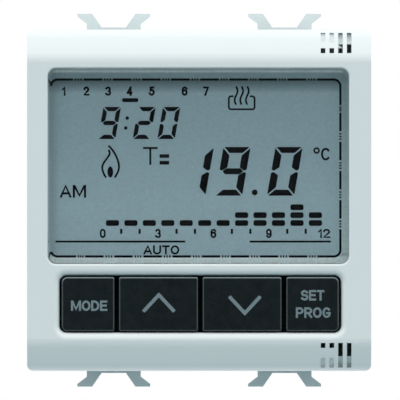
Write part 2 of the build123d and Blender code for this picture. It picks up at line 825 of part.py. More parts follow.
# ------------------------------------------------------------------ terminal block
with BuildPart() as terminal_block:
    span((-block_x, block_x), (y_block, y_rear_wall), (-housing_z, block_top))
    span((-block_x, block_x), (y_rear_wall, body_depth), (-housing_z, block_top - block_wall))
    chamfer(terminal_block.edges().filter_by(Axis.X).group_by(Axis.Y)[-1].sort_by(Axis.Z)[0], housing_bevel)
    for x in pole_x:
        half = cage_width / 2 + cage_clearance
        cavity = (cage_low - bar_clearance, cage_high + bar_clearance)
        span((x - half, x + half), (y_cage_cavity, y_bearing), cavity, Mode.SUBTRACT)
        with Locations((x, wire_y, -housing_z + block_floor / 2)):
            Cylinder(wire_radius, block_floor, mode=Mode.SUBTRACT)
        hole = terminal_screw_radius + terminal_screw_clearance
        rod(x, screw_z, hole, (y_bearing, y_head), Mode.SUBTRACT)
        hole = terminal_head_radius + terminal_head_clearance
        rod(x, screw_z, hole, (y_head, body_depth), Mode.SUBTRACT)
        half = cage_width / 2 - cage_side_wall - bar_clearance + bar_slot_clearance
        slot_y = (y_bar - bar_thickness - bar_slot_clearance, y_bar + bar_slot_clearance)
        span((x - half, x + half), slot_y, (cage_high, block_top), Mode.SUBTRACT)
save(terminal_block.part, "terminal_block")

# Contact bars: up through the block's roof, then forward to the power board
with BuildPart() as contact_bars:
    for x in pole_x:
        half = cage_width / 2 - cage_side_wall - bar_clearance
        leg_z = (block_top, block_top + bar_thickness)
        span((x - half, x + half), (y_bar - bar_thickness, y_bar), (cage_low + bar_end_gap, leg_z[1]))
        half = bar_leg_width / 2
        span((x - half, x + half), (y_power_back, y_bar), leg_z)
        half = bar_tongue_width / 2
        span((x - half, x + half), (y_power, y_power_back), leg_z)
save(contact_bars.part, "contact_bars")

# ------------------------------------------------------------------ terminal cages and screws
for i, x in enumerate(pole_x, start=1):
    with BuildPart() as cage:
        half = cage_width / 2
        span((x - half, x + half), (y_cage, y_cage_rear), (cage_low, cage_high))
        half = cage_width / 2 - cage_side_wall
        window = (y_cage_inner, y_cage_rear - cage_rear_wall)
        span((x - half, x + half), window, (cage_low, cage_high), Mode.SUBTRACT)
        hole = terminal_screw_radius + terminal_screw_clearance
        rod(x, screw_z, hole, (y_cage_rear - cage_rear_wall, y_cage_rear), Mode.SUBTRACT)
    save(cage.part, f"terminal_cage_{i}")

    with BuildPart() as screw:
        rod(x, screw_z, terminal_screw_radius, (y_bar + bar_end_gap, y_head))
        rod(x, screw_z, terminal_head_radius, (y_head, y_head + terminal_head_height))
        chamfer(screw.faces().sort_by(Axis.Y)[-1].edges(), screw_edge)
        groove = (y_head + terminal_head_height - screw_slot_depth, y_head + terminal_head_height)
        half = screw_slot_width / 2
        reach = terminal_head_radius
        span((x - reach, x + reach), groove, (screw_z - half, screw_z + half), Mode.SUBTRACT)
    save(screw.part, f"terminal_screw_{i}")

# ------------------------------------------------------------------ frame clips
clip_places = {
    "clip_top_left": (-clip_x, 1),
    "clip_top_right": (clip_x, 1),
    "clip_bottom_left": (-clip_x, -1),
    "clip_bottom_right": (clip_x, -1),
}
arm_top = housing_z - clip_sink
arm_low = arm_top - clip_arm_thickness
y_claw_back = clip_front + claw_thickness
for name, (x, side) in clip_places.items():
    with BuildPart() as clip:
        # Springy arm and the ramp behind the claws
        with BuildSketch(Plane.YZ.offset(x)):
            with BuildLine():
                Polyline(
                    (clip_front, side * arm_low),
                    (pivot_y, side * arm_low),
                    (pivot_y, side * arm_top),
                    (y_claw_back + clip_ramp, side * arm_top),
                    (y_claw_back, side * claw_bar_z),
                    (clip_front, side * claw_bar_z),
                    close=True,
                )
            make_face()
        extrude(amount=clip_arm_width / 2, both=True)
        # Bar and two outward-leaning claws
        with BuildSketch(Plane.XZ.offset(-clip_front)) as claws:
            root = claw_base_width / 2
            tip = claw_tip_span / 2
            for lean in (-1, 1):
                with BuildLine():
                    Polyline(
                        (x, side * arm_low),
                        (x + lean * root, side * arm_low),
                        (x + lean * root, side * (claw_bar_z + claw_shoulder)),
                        (x + lean * tip, side * (claw_tip_z - claw_tip_height)),
                        (x + lean * tip, side * claw_tip_z),
                        (x + lean * (tip - claw_tip_width), side * claw_tip_z),
                        (x + lean * (root - claw_root_width), side * claw_bar_z),
                        (x, side * claw_bar_z),
                        close=True,
                    )
                make_face()
            tip_low = claw_tip_z - claw_tip_height - claw_clearance
            fillet(claws.vertices().filter_by(lambda v: abs(v.Z) > tip_low), claw_round)
        extrude(amount=-claw_thickness)
        with Locations((x, pivot_y, side * pivot_z)):
            Cylinder(clip_bead_radius, 2 * (pocket_half + trunnion), rotation=(0, 90, 0))
    save(clip.part, name)
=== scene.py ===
import bpy
import bmesh
import json
import math
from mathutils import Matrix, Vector


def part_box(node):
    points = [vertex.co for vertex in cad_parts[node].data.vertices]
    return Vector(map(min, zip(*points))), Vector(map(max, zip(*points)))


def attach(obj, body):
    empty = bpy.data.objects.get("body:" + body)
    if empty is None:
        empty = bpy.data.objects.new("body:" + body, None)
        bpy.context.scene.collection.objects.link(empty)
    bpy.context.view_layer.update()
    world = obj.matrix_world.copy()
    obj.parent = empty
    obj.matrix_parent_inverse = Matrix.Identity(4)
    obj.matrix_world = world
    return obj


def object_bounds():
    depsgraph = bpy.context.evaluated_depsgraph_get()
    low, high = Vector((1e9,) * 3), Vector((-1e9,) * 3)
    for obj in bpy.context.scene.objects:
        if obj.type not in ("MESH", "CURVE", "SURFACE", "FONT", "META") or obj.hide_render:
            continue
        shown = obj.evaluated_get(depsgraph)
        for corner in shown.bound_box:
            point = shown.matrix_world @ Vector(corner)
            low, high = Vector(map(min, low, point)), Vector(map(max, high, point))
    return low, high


# A programmable room thermostat with timer: the look of the CAD model's nodes, with the display's
# segments and the keys' legends as thin pieces of their own.
# Sizes are written in millimetres and turned into metres by mm().

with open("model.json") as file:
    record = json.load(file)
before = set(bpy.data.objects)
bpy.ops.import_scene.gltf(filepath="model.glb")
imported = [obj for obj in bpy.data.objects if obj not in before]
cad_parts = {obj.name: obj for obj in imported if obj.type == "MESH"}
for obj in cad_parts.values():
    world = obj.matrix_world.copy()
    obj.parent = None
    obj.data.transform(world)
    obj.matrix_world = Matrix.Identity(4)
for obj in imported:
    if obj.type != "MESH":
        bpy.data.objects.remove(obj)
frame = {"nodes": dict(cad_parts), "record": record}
cad_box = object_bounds()
slot_of = {part["node"]: part["material_slot"] for part in frame["record"]["subparts"]}


def mm(value):
    """Millimetres to metres."""
    return value * 0.001


# ------------------------------------------------------------------ node trees
class Nodes:
    """A node tree with short ways to add to it; a source is another node's output."""

    def __init__(self, tree):
        self.tree = tree

    def put(self, socket, value):
        """Gives a socket a constant or a source."""
        if isinstance(value, bpy.types.NodeSocket):
            self.tree.links.new(value, socket)
        else:
            socket.default_value = value

    def feed(self, node, **sockets):
        """Gives each named socket of a node a constant or a source."""
        for name, value in sockets.items():
            self.put(node.inputs[name.replace("_", " ")], value)
        return node

    def node(self, kind, **sockets):
        return self.feed(self.tree.nodes.new(kind), **sockets)

    def coordinate(self, kind):
        return self.node("ShaderNodeTexCoord").outputs[kind]

    def spread(self, source, low, high, begin=0.3, end=0.7, interpolation="LINEAR"):
        """Maps the range from begin to end onto the one from low to high."""
        node = self.node("ShaderNodeMapRange", From_Min=begin, From_Max=end, To_Min=low, To_Max=high)
        node.interpolation_type = interpolation
        return self.feed(node, Value=source).outputs["Result"]

    def ramp(self, source, stops):
        """Colour by a source: stops are (value from 0 to 1, colour), from the lowest up."""
        node = self.node("ShaderNodeValToRGB", Fac=source)
        elements = node.color_ramp.elements
        for element, (position, colour) in zip(elements, (stops[0], stops[-1])):
            element.position = position
            element.color = (*colour, 1)
        for position, colour in stops[1:-1]:
            elements.new(position).color = (*colour, 1)
        return node.outputs["Color"]

    def mix(self, factor, first, second, blend_type="MIX"):
        """Mixes two colours."""
        node = self.node("ShaderNodeMix")
        node.data_type = "RGBA"
        node.blend_type = blend_type
        return self.feed(node, Factor=factor, A=first, B=second).outputs["Result"]

    def mix_shaders(self, factor, first, second):
        node = self.node("ShaderNodeMixShader")
        for socket, value in zip(node.inputs, (factor, first, second)):
            self.put(socket, value)
        return node.outputs["Shader"]

    def maths(self, operation, *values):
        """Result of a Math node, whose values are constants or sources."""
        node = self.node("ShaderNodeMath")
        node.operation = operation
        for socket, value in zip(node.inputs, values):
            self.put(socket, value)
        return node.outputs["Value"]


class Shader(Nodes):
    """A node material with one Principled shader."""

    def __init__(self, name, **sockets):
        self.material = bpy.data.materials.new(name)
        self.material.use_nodes = True
        super().__init__(self.material.node_tree)
        self.bsdf = self.feed(self.tree.nodes["Principled BSDF"], **sockets)
        self.coordinates = self.coordinate("Object")

    def noise(self, size, detail=3.0, stretch=(1, 1, 1)):
        """Noise whose features are about size millimetres across."""
        mapping = self.node("ShaderNodeMapping", Vector=self.coordinates, Scale=stretch)
        noise = self.node("ShaderNodeTexNoise", Vector=mapping.outputs["Vector"],
                          Scale=1 / mm(size), Detail=detail)
        return noise.outputs["Fac"]

    def blend(self, source, dark, light, begin=0.3, end=0.7):
        """Colour between dark and light."""
        return self.ramp(source, ((begin, dark), (end, light)))

    def colour(self, source):
        self.feed(self.bsdf, Base_Color=source)

    def roughness(self, source):
        self.feed(self.bsdf, Roughness=source)

    def bump(self, *layers):
        """Stacks (height source, depth in millimetres) layers as bumps."""
        below = {}
        for height, depth in layers:
            bump = self.node("ShaderNodeBump", Height=height, Distance=mm(depth), Strength=1.0, **below)
            below = {"Normal": bump.outputs["Normal"]}
        self.feed(self.bsdf, **below)


# ------------------------------------------------------------------ kinds of material
def shade(colour, factor):
    return tuple(channel * factor for channel in colour)


def plastic(name, colour, rough=0.35, variation=0.02, grain=(0.12, 0.002), flow_depth=0.008, **sockets):
    """Moulded plastic: faint tone changes, uneven gloss, slight flow waves and a grain of (size, depth)."""
    shader = Shader(name, **sockets)
    cloud = shader.noise(6.0)
    shader.colour(shader.blend(cloud, shade(colour, 1 - variation), shade(colour, 1 + variation)))
    shader.roughness(shader.spread(shader.noise(1.4, detail=4), rough - 0.05, rough + 0.05))
    grain_size, grain_depth = grain
    shader.bump((shader.noise(9.0, detail=1), flow_depth), (shader.noise(grain_size, detail=2), grain_depth))
    return shader.material


EDGE_TURN = 0.72               # share of a normal that faces the front on the middle of a rounded edge
FULL_HIGHLIGHT = 0.85               # share of EDGE_TURN from which an edge has all of its painted highlight
UPWARD = 0.6                   # share of a normal that faces up where an edge counts as an upper one
LEVEL_HIGHLIGHT = 0.12              # painted highlight of edges that don't face up, where an upper one has 1


def key_plastic(name, colour, edge):
    """Satin black plastic with a painted highlight: its rounded front edges get a lighter base colour, most
    of all the upper ones, where light from above falls.
    """
    shader = Shader(name, Specular_IOR_Level=0.7)
    facing = shader.node("ShaderNodeSeparateXYZ", Vector=shader.coordinate("Normal")).outputs
    # Rises from a flat front face to the middle of an edge and falls again towards the sides
    turn = shader.maths("PINGPONG", shader.maths("ABSOLUTE", facing["Y"]), EDGE_TURN)
    flat_face = 2 * EDGE_TURN - 1
    edge_highlight = shader.spread(turn, 0, 1, flat_face, EDGE_TURN * FULL_HIGHLIGHT)
    upper_highlight = shader.spread(facing["Z"], LEVEL_HIGHLIGHT, 1, 0, UPWARD)
    # Painted highlight: how much lighter an edge is coloured, most on edges that face up
    highlight_share = shader.maths("MULTIPLY", edge_highlight, upper_highlight)
    cloud = shader.blend(shader.noise(6.0), shade(colour, 0.92), shade(colour, 1.08))
    shader.colour(shader.mix(highlight_share, cloud, (*edge, 1)))
    shader.roughness(shader.spread(shader.noise(1.4, detail=4), 0.24, 0.3))
    shader.bump((shader.noise(0.15, detail=2), 0.002))
    return shader.material


def metal(name, colour, rough=0.3, stretch=(1, 1, 1)):
    """Plated or drawn metal with fine drawing marks and dull spots."""
    shader = Shader(name, Metallic=1.0)
    dull = shader.noise(1.2, detail=4)
    shader.colour(shader.blend(dull, shade(colour, 0.8), colour))
    shader.roughness(shader.spread(dull, rough + 0.12, rough - 0.05))
    shader.bump((shader.noise(0.12, stretch=stretch), 0.004))
    return shader.material


def circuit_board(name):
    """Green solder mask over copper tracks, which show as slightly lighter lines."""
    shader = Shader(name, Coat_Weight=0.3)
    track = shader.node("ShaderNodeTexBrick", Vector=shader.coordinates, Scale=1 / mm(10), Mortar_Size=0.012,
                        Color1=(0, 0, 0, 1), Color2=(0.25, 0.25, 0.25, 1), Mortar=(1, 1, 1, 1))
    shader.colour(shader.blend(track.outputs["Color"], (0.012, 0.09, 0.035), (0.03, 0.17, 0.07), 0, 1))
    shader.roughness(shader.spread(shader.noise(0.8), 0.25, 0.4))
    shader.bump((track.outputs["Color"], 0.03), (shader.noise(0.3), 0.004))
    return shader.material


def display_film(name, tones, mottle=0.06):
    """Grey-green film, finely mottled; its tones are (height in metres, colour), from the lowest up, and
    paint light and shade by height.
    """
    shader = Shader(name, Specular_IOR_Level=0.2)
    low, high = tones[0][0], tones[-1][0]
    place = shader.node("ShaderNodeSeparateXYZ", Vector=shader.coordinates)
    stops = [((height - low) / (high - low), colour) for height, colour in tones]
    # Painted light and shade: the colour follows the height through the tones
    by_height = shader.ramp(shader.spread(place.outputs["Z"], 0, 1, low, high), stops)
    spots = shader.blend(shader.noise(0.3, detail=2), (1 - mottle,) * 3, (1 + mottle,) * 3)
    shader.colour(shader.mix(1.0, by_height, spots, "MULTIPLY"))
    shader.roughness(shader.spread(shader.noise(0.5), 0.5, 0.6))
    shader.bump((shader.noise(0.2, detail=2), 0.002))
    return shader.material


def clear(name, tint, ior):
    """Clear acrylic or glass, polished, with faint flow waves and dust-fine haze."""
    shader = Shader(name, Transmission_Weight=1.0, IOR=ior)
    shader.colour(shader.blend(shader.noise(5.0), shade(tint, 0.99), tint))
    shader.roughness(shader.spread(shader.noise(2.0, detail=4), 0, 0.02))
    shader.bump((shader.noise(12.0, detail=1), 0.004))
    return shader.material


# ------------------------------------------------------------------ materials
film_low, film_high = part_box("lcd_front_polariser")
window_low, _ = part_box("display_window")
BORDER = (-19.3, 18.58, -11.81, 11.35)    # left, right, low and high, from the display's middle
left, right, low, high = BORDER
border_top = (film_low.z + film_high.z) / 2 + mm(high)
# Painted shade: the film is darker towards the top, with a painted shadow just under the border's top line
FILM_PAINTED_SHADE_TONES = (
    (film_low.z, (0.4, 0.535, 0.6)),
    (film_low.z + mm(8), (0.4, 0.535, 0.6)),
    (film_low.z + mm(17), (0.345, 0.47, 0.53)),
    (border_top - mm(1.8), (0.32, 0.44, 0.495)),
    (border_top - mm(1.1), (0.21, 0.3, 0.34)),
    (border_top - mm(0.1), (0.1, 0.145, 0.165)),
    (film_high.z, (0.1, 0.145, 0.165)),
)
# Painted light and shade: near-white at the bottom as a painted reflection of the window's lower edge, darker
# upwards to a painted shade band along the border's top line, and a lighter strip above it as a painted
# highlight of the window's upper edge
MARGIN_PAINTED_LIGHT_TONES = (
    (film_low.z, (0.95, 1.0, 1.0)),
    (window_low.z + mm(1.6), (0.86, 0.98, 1.0)),
    (window_low.z + mm(2.2), (0.6, 0.74, 0.77)),
    (border_top - mm(22.9), (0.42, 0.56, 0.6)),
    (border_top - mm(2), (0.3, 0.42, 0.46)),
    (border_top + mm(0.15), (0.24, 0.35, 0.39)),
    (border_top + mm(0.85), (0.3, 0.42, 0.46)),
    (border_top + mm(1.0), (0.62, 0.74, 0.77)),
    (film_high.z, (0.66, 0.78, 0.8)),
)
WHITE = (0.8, 0.86, 0.87)
BLACK = (0.02, 0.021, 0.023)
PLASTICS = {
    "cover_white": dict(colour=WHITE, rough=0.36, variation=0.004, grain=(0.2, 0.0004), flow_depth=0.002),
    "contact_rubber": dict(colour=(0.16, 0.17, 0.18), rough=0.7, variation=0.1),
    "holder_white": dict(colour=(0.78, 0.83, 0.84), rough=0.45),
    "plunger_white": dict(colour=(0.72, 0.72, 0.69), rough=0.5),
    "switch_black": dict(colour=BLACK, rough=0.5, variation=0.1),
    "chip_black": dict(colour=BLACK, rough=0.6, variation=0.1, grain=(0.08, 0.006)),
    "sensor_blue": dict(colour=(0.04, 0.08, 0.16), rough=0.2, variation=0.1),
    "header_black": dict(colour=BLACK, rough=0.5, variation=0.1),
    "relay_blue": dict(colour=(0.04, 0.15, 0.36), rough=0.4, variation=0.05),
    "capacitor_yellow": dict(colour=(0.55, 0.4, 0.06), variation=0.05),
    "sleeve_dark": dict(colour=(0.03, 0.035, 0.07), rough=0.25, variation=0.08),
    "varistor_blue": dict(colour=(0.03, 0.09, 0.28), rough=0.25, variation=0.1, grain=(0.5, 0.02)),
    "resistor_body": dict(colour=(0.3, 0.36, 0.28), rough=0.4, variation=0.08, grain=(0.3, 0.01)),
    "diode_black": dict(colour=BLACK, rough=0.4, variation=0.1),
    "sheet_clear": dict(colour=(0.7, 0.7, 0.62), rough=0.3, variation=0.03, Transmission_Weight=0.4),
    "housing_white": dict(colour=(0.72, 0.77, 0.78), rough=0.5, grain=(0.18, 0.005)),
    "block_white": dict(colour=(0.6, 0.64, 0.65), rough=0.5, variation=0.03, grain=(0.2, 0.006)),
    "clip_white": dict(colour=(0.67, 0.75, 0.76), rough=0.45, grain=(0.2, 0.004)),
}
METALS = {
    "lcd_back": dict(colour=(0.62, 0.68, 0.68), rough=0.5),
    "can_steel": dict(colour=(0.62, 0.63, 0.64), rough=0.25),
    "screw_steel": dict(colour=(0.6, 0.61, 0.62), stretch=(1, 8, 1)),
    "pin_brass": dict(colour=(0.8, 0.62, 0.3), rough=0.25),
    "contact_copper": dict(colour=(0.76, 0.5, 0.3), rough=0.35),
    "cage_steel": dict(colour=(0.62, 0.62, 0.58), rough=0.35, stretch=(1, 1, 6)),
}
finishes = {
    **{name: plastic(name, **look) for name, look in PLASTICS.items()},
    **{name: metal(name, **look) for name, look in METALS.items()},
    "clear_lens": clear("clear_lens", (0.95, 0.985, 0.985), ior=1.49),
    "lcd_glass": clear("lcd_glass", (0.85, 0.93, 0.91), ior=1.52),
    "lcd_film": display_film("lcd_film", FILM_PAINTED_SHADE_TONES),
    # The edge colour is a painted highlight on the keys' rounded edges, mostly the upper ones
    "key_charcoal": key_plastic("key_charcoal", (0.0055, 0.0105, 0.0125), edge=(0.2, 0.27, 0.3)),
    "board_green": circuit_board("board_green"),
}
display_ink = plastic("display_ink", (0.005, 0.005, 0.007), rough=0.6, variation=0.15, Specular_IOR_Level=0.1)
display_margin = display_film("display_margin", MARGIN_PAINTED_LIGHT_TONES, mottle=0.08)
legend_ink = plastic("legend_ink", (0.17, 0.235, 0.26), rough=0.55, variation=0.04, grain=(0.1, 0.003))

for node_name, node_object in frame["nodes"].items():
    node_object.data.materials.clear()
    node_object.data.materials.append(finishes[slot_of[node_name]])


# ------------------------------------------------------------------ flat shapes, in millimetres
CORNER_SHARE = 0.45            # most of a side that one rounded corner takes
MITRE_LIMIT = 0.7              # keeps the outer corners of sharp bends from running far out


def rounded(points, radius, steps=4):
    """The outline with each corner replaced by a small curve."""
    outline = []
    for i, corner in enumerate(points):
        corner = Vector(corner)
        before = Vector(points[i - 1]) - corner
        after = Vector(points[(i + 1) % len(points)]) - corner
        reach = min(radius, before.length * CORNER_SHARE, after.length * CORNER_SHARE)
        start = corner + before.normalized() * reach
        end = corner + after.normalized() * reach
        for step in range(steps + 1):
            t = step / steps
            outline.append(start * (1 - t) ** 2 + corner * 2 * t * (1 - t) + end * t * t)
    return outline


def bar(x, z, width, height, radius=0.0):
    """Rectangle centred at x, z."""
    corners = [(x - width / 2, z - height / 2), (x + width / 2, z - height / 2),
               (x + width / 2, z + height / 2), (x - width / 2, z + height / 2)]
    return rounded(corners, radius) if radius else [Vector(corner) for corner in corners]


def bend(x, z, across, up, begin, end, steps=12):
    """Points on an elliptic arc, with angles in degrees counted from +X towards +Z."""
    angles = [math.radians(begin + (end - begin) * i / steps) for i in range(steps + 1)]
    return [Vector((x + across * math.cos(a), z + up * math.sin(a))) for a in angles]


def arc(x, z, radius, begin, end):
    return bend(x, z, radius, radius, begin, end, 8)


def oval(x, z, across, up):
    return bend(x, z, across, up, 0, 360, 20)[:-1]


def dot(x, z, radius):
    return oval(x, z, radius, radius)


def smooth(points, steps=5):
    """Open Catmull-Rom curve through the points."""
    points = [Vector(point) for point in points]
    points = [points[0] * 2 - points[1], *points, points[-1] * 2 - points[-2]]
    curve = []
    for a, b, c, d in zip(points, points[1:], points[2:], points[3:]):
        for step in range(steps):
            t = step / steps
            curve.append(0.5 * (2 * b + (c - a) * t + (2 * a - 5 * b + 4 * c - d) * t ** 2
                                + (3 * b - a - 3 * c + d) * t ** 3))
    return [*curve, points[-2]]


def stroke(path, width, closed=False):
    """Outline of a line of even width along a path; a closed path gives an outer and an inner loop."""
    path = [Vector(point) for point in path]
    sides = ([], [])
    count = len(path)
    for i, point in enumerate(path):
        before = path[i - 1] if closed or i else point
        after = path[(i + 1) % count] if closed or i < count - 1 else point
        into = (point - before).normalized()
        out = (after - point).normalized()
        along = (into + out).normalized()
        normal = Vector((-along.y, along.x))
        straight = out if out.length else into
        mitre = max(abs(along.dot(straight)), MITRE_LIMIT)
        sides[0].append(point + normal * width / 2 / mitre)
        sides[1].append(point - normal * width / 2 / mitre)
    return sides if closed else sides[0] + sides[1][::-1]


# ------------------------------------------------------------------ thin pieces
LAYER_STEP = 0.0012            # between the depths at which overlapping outlines start
LAYERS = 4


def finished(name, mesh, material):
    data = bpy.data.meshes.new(name)
    mesh.to_mesh(data)
    mesh.free()
    data.materials.append(material)
    piece = bpy.data.objects.new(name, data)
    bpy.context.scene.collection.objects.link(piece)
    return piece


def plate(name, outlines, origin, thickness, material, rings=()):
    """Thin flat piece: outlines in the XZ plane, extruded towards the rear from the origin's Y.

    Neighbouring outlines start at slightly different depths, so that overlapping strokes never coincide.
    """
    mesh = bmesh.new()
    place = Vector(origin)
    rear = mm(thickness)

    def loop(outline, depth):
        return [mesh.verts.new((place.x + mm(p.x), place.y + depth, place.z + mm(p.y))) for p in outline]

    def walls(front, back):
        for i in range(len(front)):
            j = (i + 1) % len(front)
            mesh.faces.new((front[i], front[j], back[j], back[i]))

    for i, outline in enumerate(outlines):
        front = loop(outline, mm(LAYER_STEP) * (i % LAYERS))
        back = loop(outline, rear)
        mesh.faces.new(front)
        mesh.faces.new(back[::-1])
        walls(front, back)
    for outer, inner in rings:
        outer_front, inner_front = (loop(outline, mm(LAYER_STEP) * LAYERS) for outline in (outer, inner))
        outer_back, inner_back = (loop(outline, rear) for outline in (outer, inner))
        walls(outer_front, inner_front)
        walls(outer_back, inner_back)
        walls(outer_front, outer_back)
        walls(inner_front, inner_back)
    bmesh.ops.recalc_face_normals(mesh, faces=mesh.faces)
    return finished(name, mesh, material)


# ------------------------------------------------------------------ letters
# Plain letterforms as centre lines in a unit box: (relative width, closed loops, open lines)
OVAL = [*bend(0.5, 0.66, 0.5, 0.34, 0, 180), *bend(0.5, 0.34, 0.5, 0.34, 180, 360)]
BOWL = [(0, 0.45), (0, 1), *bend(0.55, 0.725, 0.45, 0.275, 90, -90)]
SIX_BOWL = bend(0.5, 0.31, 0.5, 0.31, 0, 350, 35)
SIX_BACK = [*bend(0.52, 0.66, 0.52, 0.34, 30, 180), (0, 0.33)]
LETTERS = {
    "0": (1, [OVAL], []),
    "1": (0.42, [], [[(0, 0.74), (0.9, 1), (0.9, 0)]]),
    "2": (1, [], [[*bend(0.48, 0.72, 0.48, 0.28, 165, -25), (0, 0), (1, 0)]]),
    "3": (1, [], [[*bend(0.46, 0.745, 0.46, 0.255, 155, -70), *bend(0.46, 0.26, 0.54, 0.26, 70, -155)]]),
    "4": (1.05, [], [[(0.74, 0), (0.74, 1)], [(0.7, 0.94), (0.03, 0.32)], [(0.02, 0.26), (1, 0.26)]]),
    "5": (1, [], [[(0.92, 1), (0.16, 1), (0.08, 0.52), *bend(0.46, 0.33, 0.54, 0.33, 115, -155)]]),
    "6": (1, [SIX_BOWL], [SIX_BACK]),
    "7": (1, [], [[(0, 1), (1, 1), (0.32, 0)]]),
    "9": (1, [[(1 - x, 1 - z) for x, z in SIX_BOWL]], [[(1 - x, 1 - z) for x, z in SIX_BACK]]),
    "A": (1.2, [], [[(0, 0), (0.5, 1), (1, 0)], [(0.17, 0.3), (0.83, 0.3)]]),
    "C": (1.1, [], [bend(0.52, 0.5, 0.52, 0.5, 45, 315, 20)]),
    "D": (1.1, [[(0, 0), (0, 1), *bend(0.4, 0.5, 0.6, 0.5, 90, -90)]], []),
    "E": (0.95, [], [[(1, 1), (0, 1), (0, 0), (1, 0)], [(0, 0.52), (0.88, 0.52)]]),
    "G": (1.15, [], [[*bend(0.5, 0.5, 0.5, 0.5, 45, 325, 20), (0.96, 0.45), (0.55, 0.45)]]),
    "M": (1.45, [], [[(0, 0), (0, 1)], [(1, 0), (1, 1)], [(0.1, 0.92), (0.5, 0.1), (0.9, 0.92)]]),
    "O": (1.2, [bend(0.5, 0.5, 0.5, 0.5, 0, 350, 35)], []),
    "P": (1, [BOWL], [[(0, 0.45), (0, 0)]]),
    "R": (1.05, [BOWL], [[(0, 0.45), (0, 0)], [(0.5, 0.45), (1, 0)]]),
    "S": (1, [], [[*bend(0.5, 0.75, 0.47, 0.25, 25, 255), *bend(0.5, 0.26, 0.5, 0.26, 75, -155)]]),
    "T": (1, [], [[(0, 1), (1, 1)], [(0.5, 1), (0.5, 0)]]),
    "U": (1.1, [], [[(0, 1), *bend(0.5, 0.34, 0.5, 0.34, 180, 360), (1, 1)]]),
}
LETTER_GAP = 0.3               # clear space between letters, where one of relative width 1 takes 1


def lettering(text, x, z, line):
    """Outlines and rings of plain letters that fill the box from x[0] to x[1] and z[0] to z[1]."""
    outlines, rings = [], []
    widths = [LETTERS[letter][0] for letter in text]
    gap = LETTER_GAP + line / (z[1] - z[0])
    unit = (x[1] - x[0] - line) / (sum(widths) + gap * (len(text) - 1))
    tall = z[1] - z[0] - line
    start = x[0] + line / 2
    for letter, width in zip(text, widths):

        def place(path):
            return [Vector((start + px * width * unit, z[0] + line / 2 + pz * tall)) for px, pz in path]

        _, loops, lines = LETTERS[letter]
        rings += [stroke(place(path), line, closed=True) for path in loops]
        for path in lines:
            path = place(path)
            path[0] += (path[0] - path[1]).normalized() * line / 2
            path[-1] += (path[-1] - path[-2]).normalized() * line / 2
            outlines.append(stroke(path, line))
        start += (width + gap) * unit
    return outlines, rings


def span(centre, width):
    return (centre - width / 2, centre + width / 2)


# ------------------------------------------------------------------ display segments
SEGMENT_THICKNESS = 0.02
display_origin = Vector((
    (film_low.x + film_high.x) / 2,
    film_low.y - mm(SEGMENT_THICKNESS),
    (film_low.z + film_high.z) / 2,
))


def show(name, outlines, rings=(), material=display_ink):
    """A group of segments on the display."""
    piece = plate(name, outlines, display_origin, SEGMENT_THICKNESS, material, rings)
    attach(piece, "case")


def show_word(name, text, x, z, line=0.27):
    show(name, *lettering(text, x, z, line))


SEGMENTS = {"0": "abcdef", "1": "bc", "2": "abged", "9": "abcdfg"}
DIGIT_SLANT = math.tan(math.radians(10))
SEGMENT_CORNER = 0.12
TIP = 0.35                     # where an upright's inner end comes to its point, as a share of its width


def segment_digit(figure, x, z, width, height, across, upright, gap):
    """Slanted seven-segment figure with its lower left corner at x, z.

    Across and upright are the widths of its level and its upright segments.
    """
    middle = height / 2
    half = across / 2
    tip = upright * TIP + gap * 0.6
    shapes = {
        "a": [(gap, height), (width - gap, height), (width - gap - across, height - across),
              (gap + across, height - across)],
        "d": [(gap, 0), (gap + across, across), (width - gap - across, across), (width - gap, 0)],
        "g": [(tip, middle), (tip + half, middle + half), (width - tip - half, middle + half),
              (width - tip, middle), (width - tip - half, middle - half), (tip + half, middle - half)],
        "f": [(0, height - gap), (upright, height - gap - upright), (upright, middle + half + gap),
              (upright * TIP, middle + gap * 0.7), (0, middle + gap * 1.6)],
    }
    shapes["b"] = [(width - px, pz) for px, pz in shapes["f"]]
    shapes["e"] = [(px, height - pz) for px, pz in shapes["f"]]
    shapes["c"] = [(width - px, height - pz) for px, pz in shapes["f"]]
    outlines = []
    for key in SEGMENTS[figure]:
        slanted = [(x + px + pz * DIGIT_SLANT, z + pz) for px, pz in shapes[key]]
        outlines.append(rounded(slanted, SEGMENT_CORNER))
    return outlines


def figures(text, places, base, size):
    """Outlines of figures that stand on a base line, with their left ends at the places."""
    return [outline for figure, x in zip(text, places) for outline in segment_digit(figure, x, base, **size)]


# Days of the week along the top, and the bar under the current one
DAY_PLACES = (-17.6, -14.65, -11.8, -9.0, -6.1, -1.8, 1.0)
DAY_HEIGHT = 1.22
DAY_LOW = 9.22
DAY_WIDTH = 0.78
ONE_WIDTH = 0.5                # the figure 1 is narrower
DAY_BAR = dict(x=DAY_PLACES[3] + 0.07, z=8.65, width=2.13, height=0.52, radius=0.24)
for day, place in enumerate(DAY_PLACES, start=1):
    across = span(place, ONE_WIDTH if day == 1 else DAY_WIDTH)
    show_word(f"day_{day}", str(day), across, (DAY_LOW, DAY_LOW + DAY_HEIGHT))
show("day_bar", [bar(**DAY_BAR)])

# Time of day
TIME_SIZE = dict(width=2.29, height=4.2, across=0.56, upright=0.56, gap=0.1)
COLON_RADIUS = 0.235
show("time_digits", figures("920", (-13.16, -8.61, -5.38), 3.56, TIME_SIZE))
show("time_colon", [dot(-9.31, 6.31, COLON_RADIUS), dot(-9.51, 5.01, COLON_RADIUS)])

